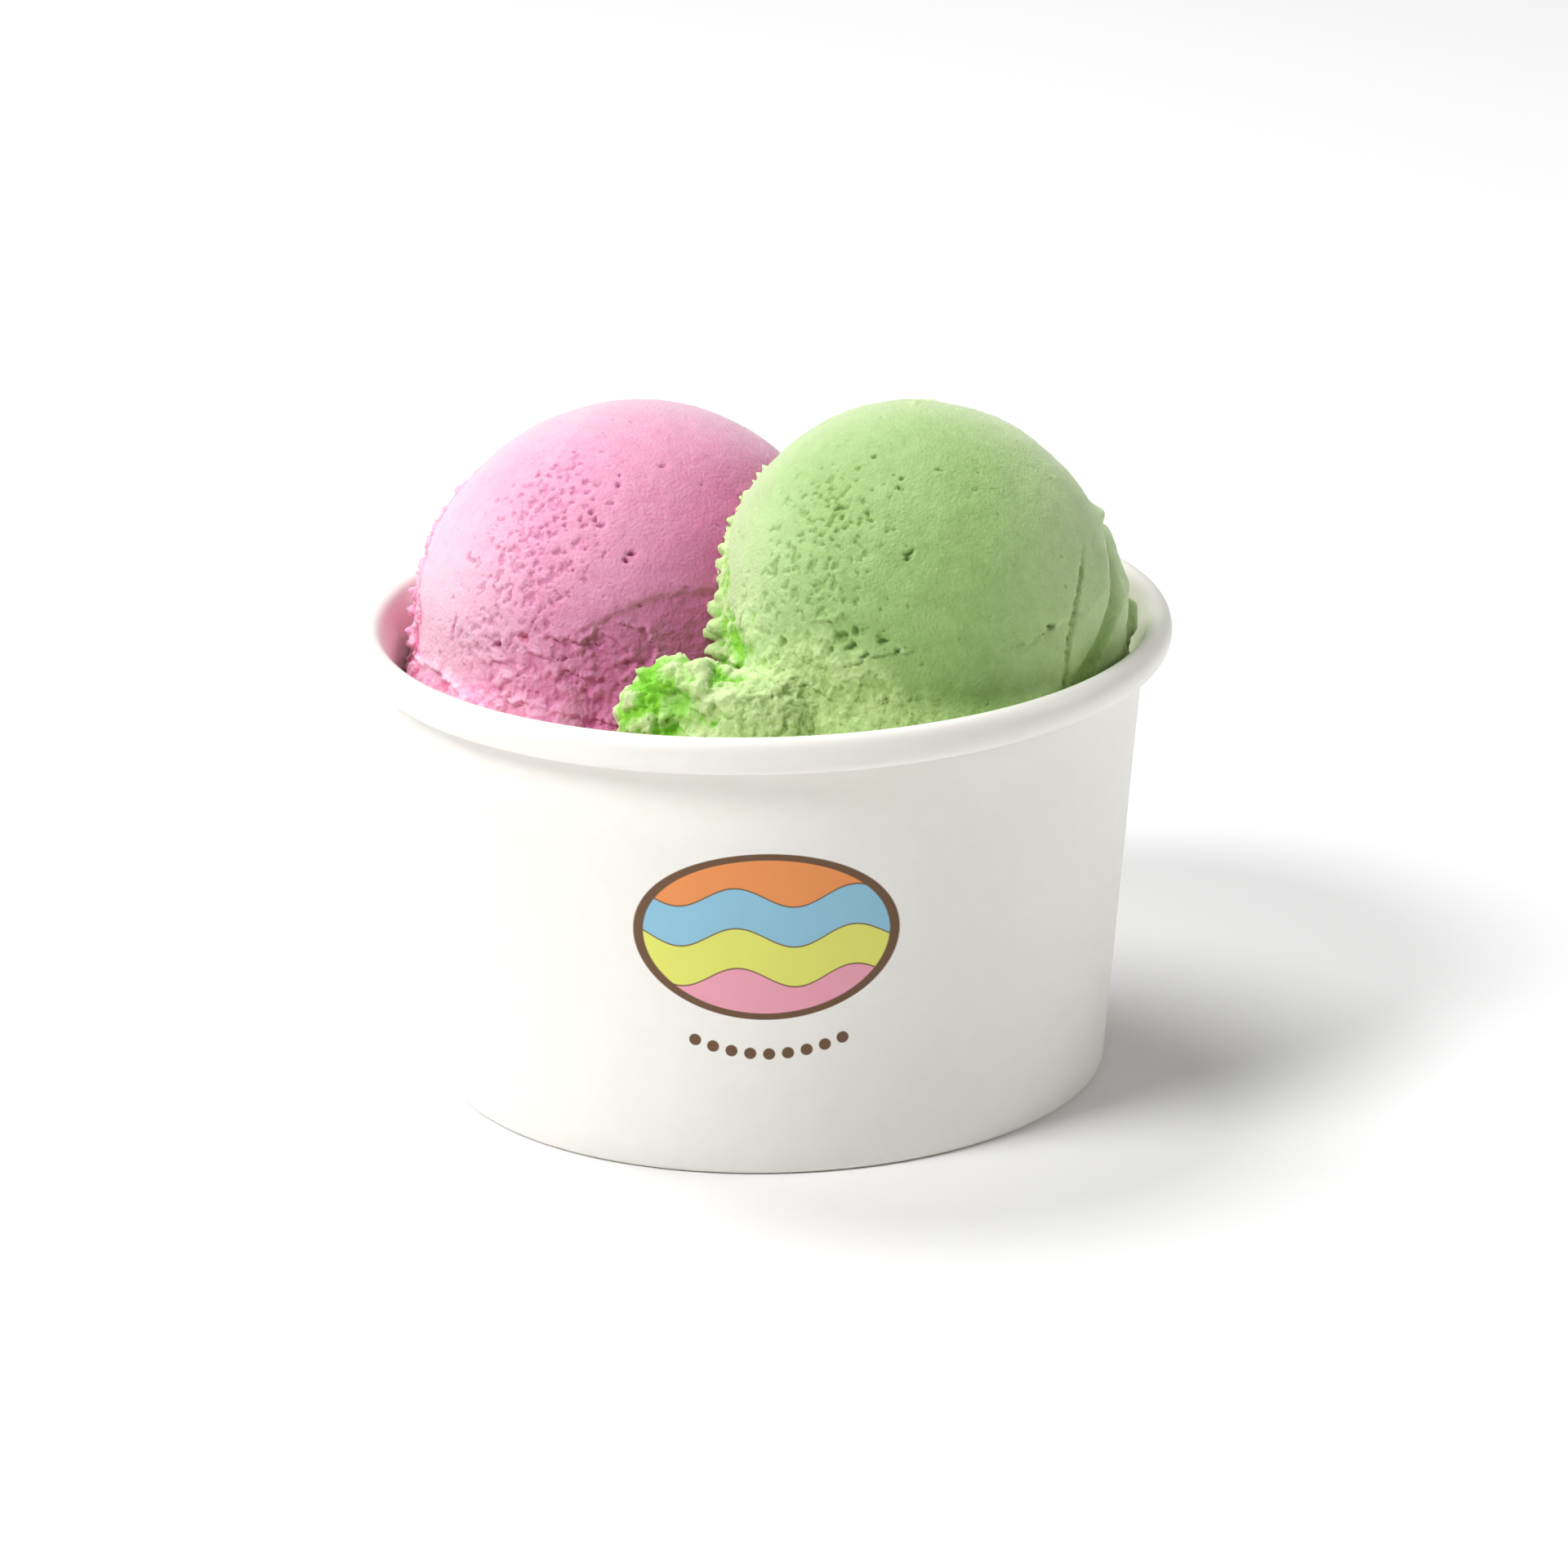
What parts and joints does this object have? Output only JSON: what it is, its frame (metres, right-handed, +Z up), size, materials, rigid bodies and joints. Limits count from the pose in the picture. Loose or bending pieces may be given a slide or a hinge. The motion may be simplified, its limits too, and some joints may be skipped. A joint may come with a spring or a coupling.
{
  "type": "gelato cup",
  "caption": "White paper tub with a rolled rim and recessed base, filled with gelato and topped by a pink scoop and a green scoop pressed together.",
  "frame": {"origin": "centre of the ring that the cup stands on, on the surface that carries it", "axes": "+Z up along the cup's axis; the side with the green tongue between the scoops faces -Y, the pink scoop is towards -X and the green one towards +X"},
  "size_m": [0.095, 0.095, 0.0824],
  "materials": {
    "white_cup_paper": "smooth coated board, satin",
    "pink_gelato": "moist and finely pitted frozen gelato",
    "green_gelato": "moist and finely pitted frozen gelato"
  },
  "bodies": {
    "root": {"cup_sidewall": "white_cup_paper", "cup_base": "white_cup_paper", "scoop_pink": "pink_gelato", "scoop_green": "green_gelato"}
  },
  "joints": []
}
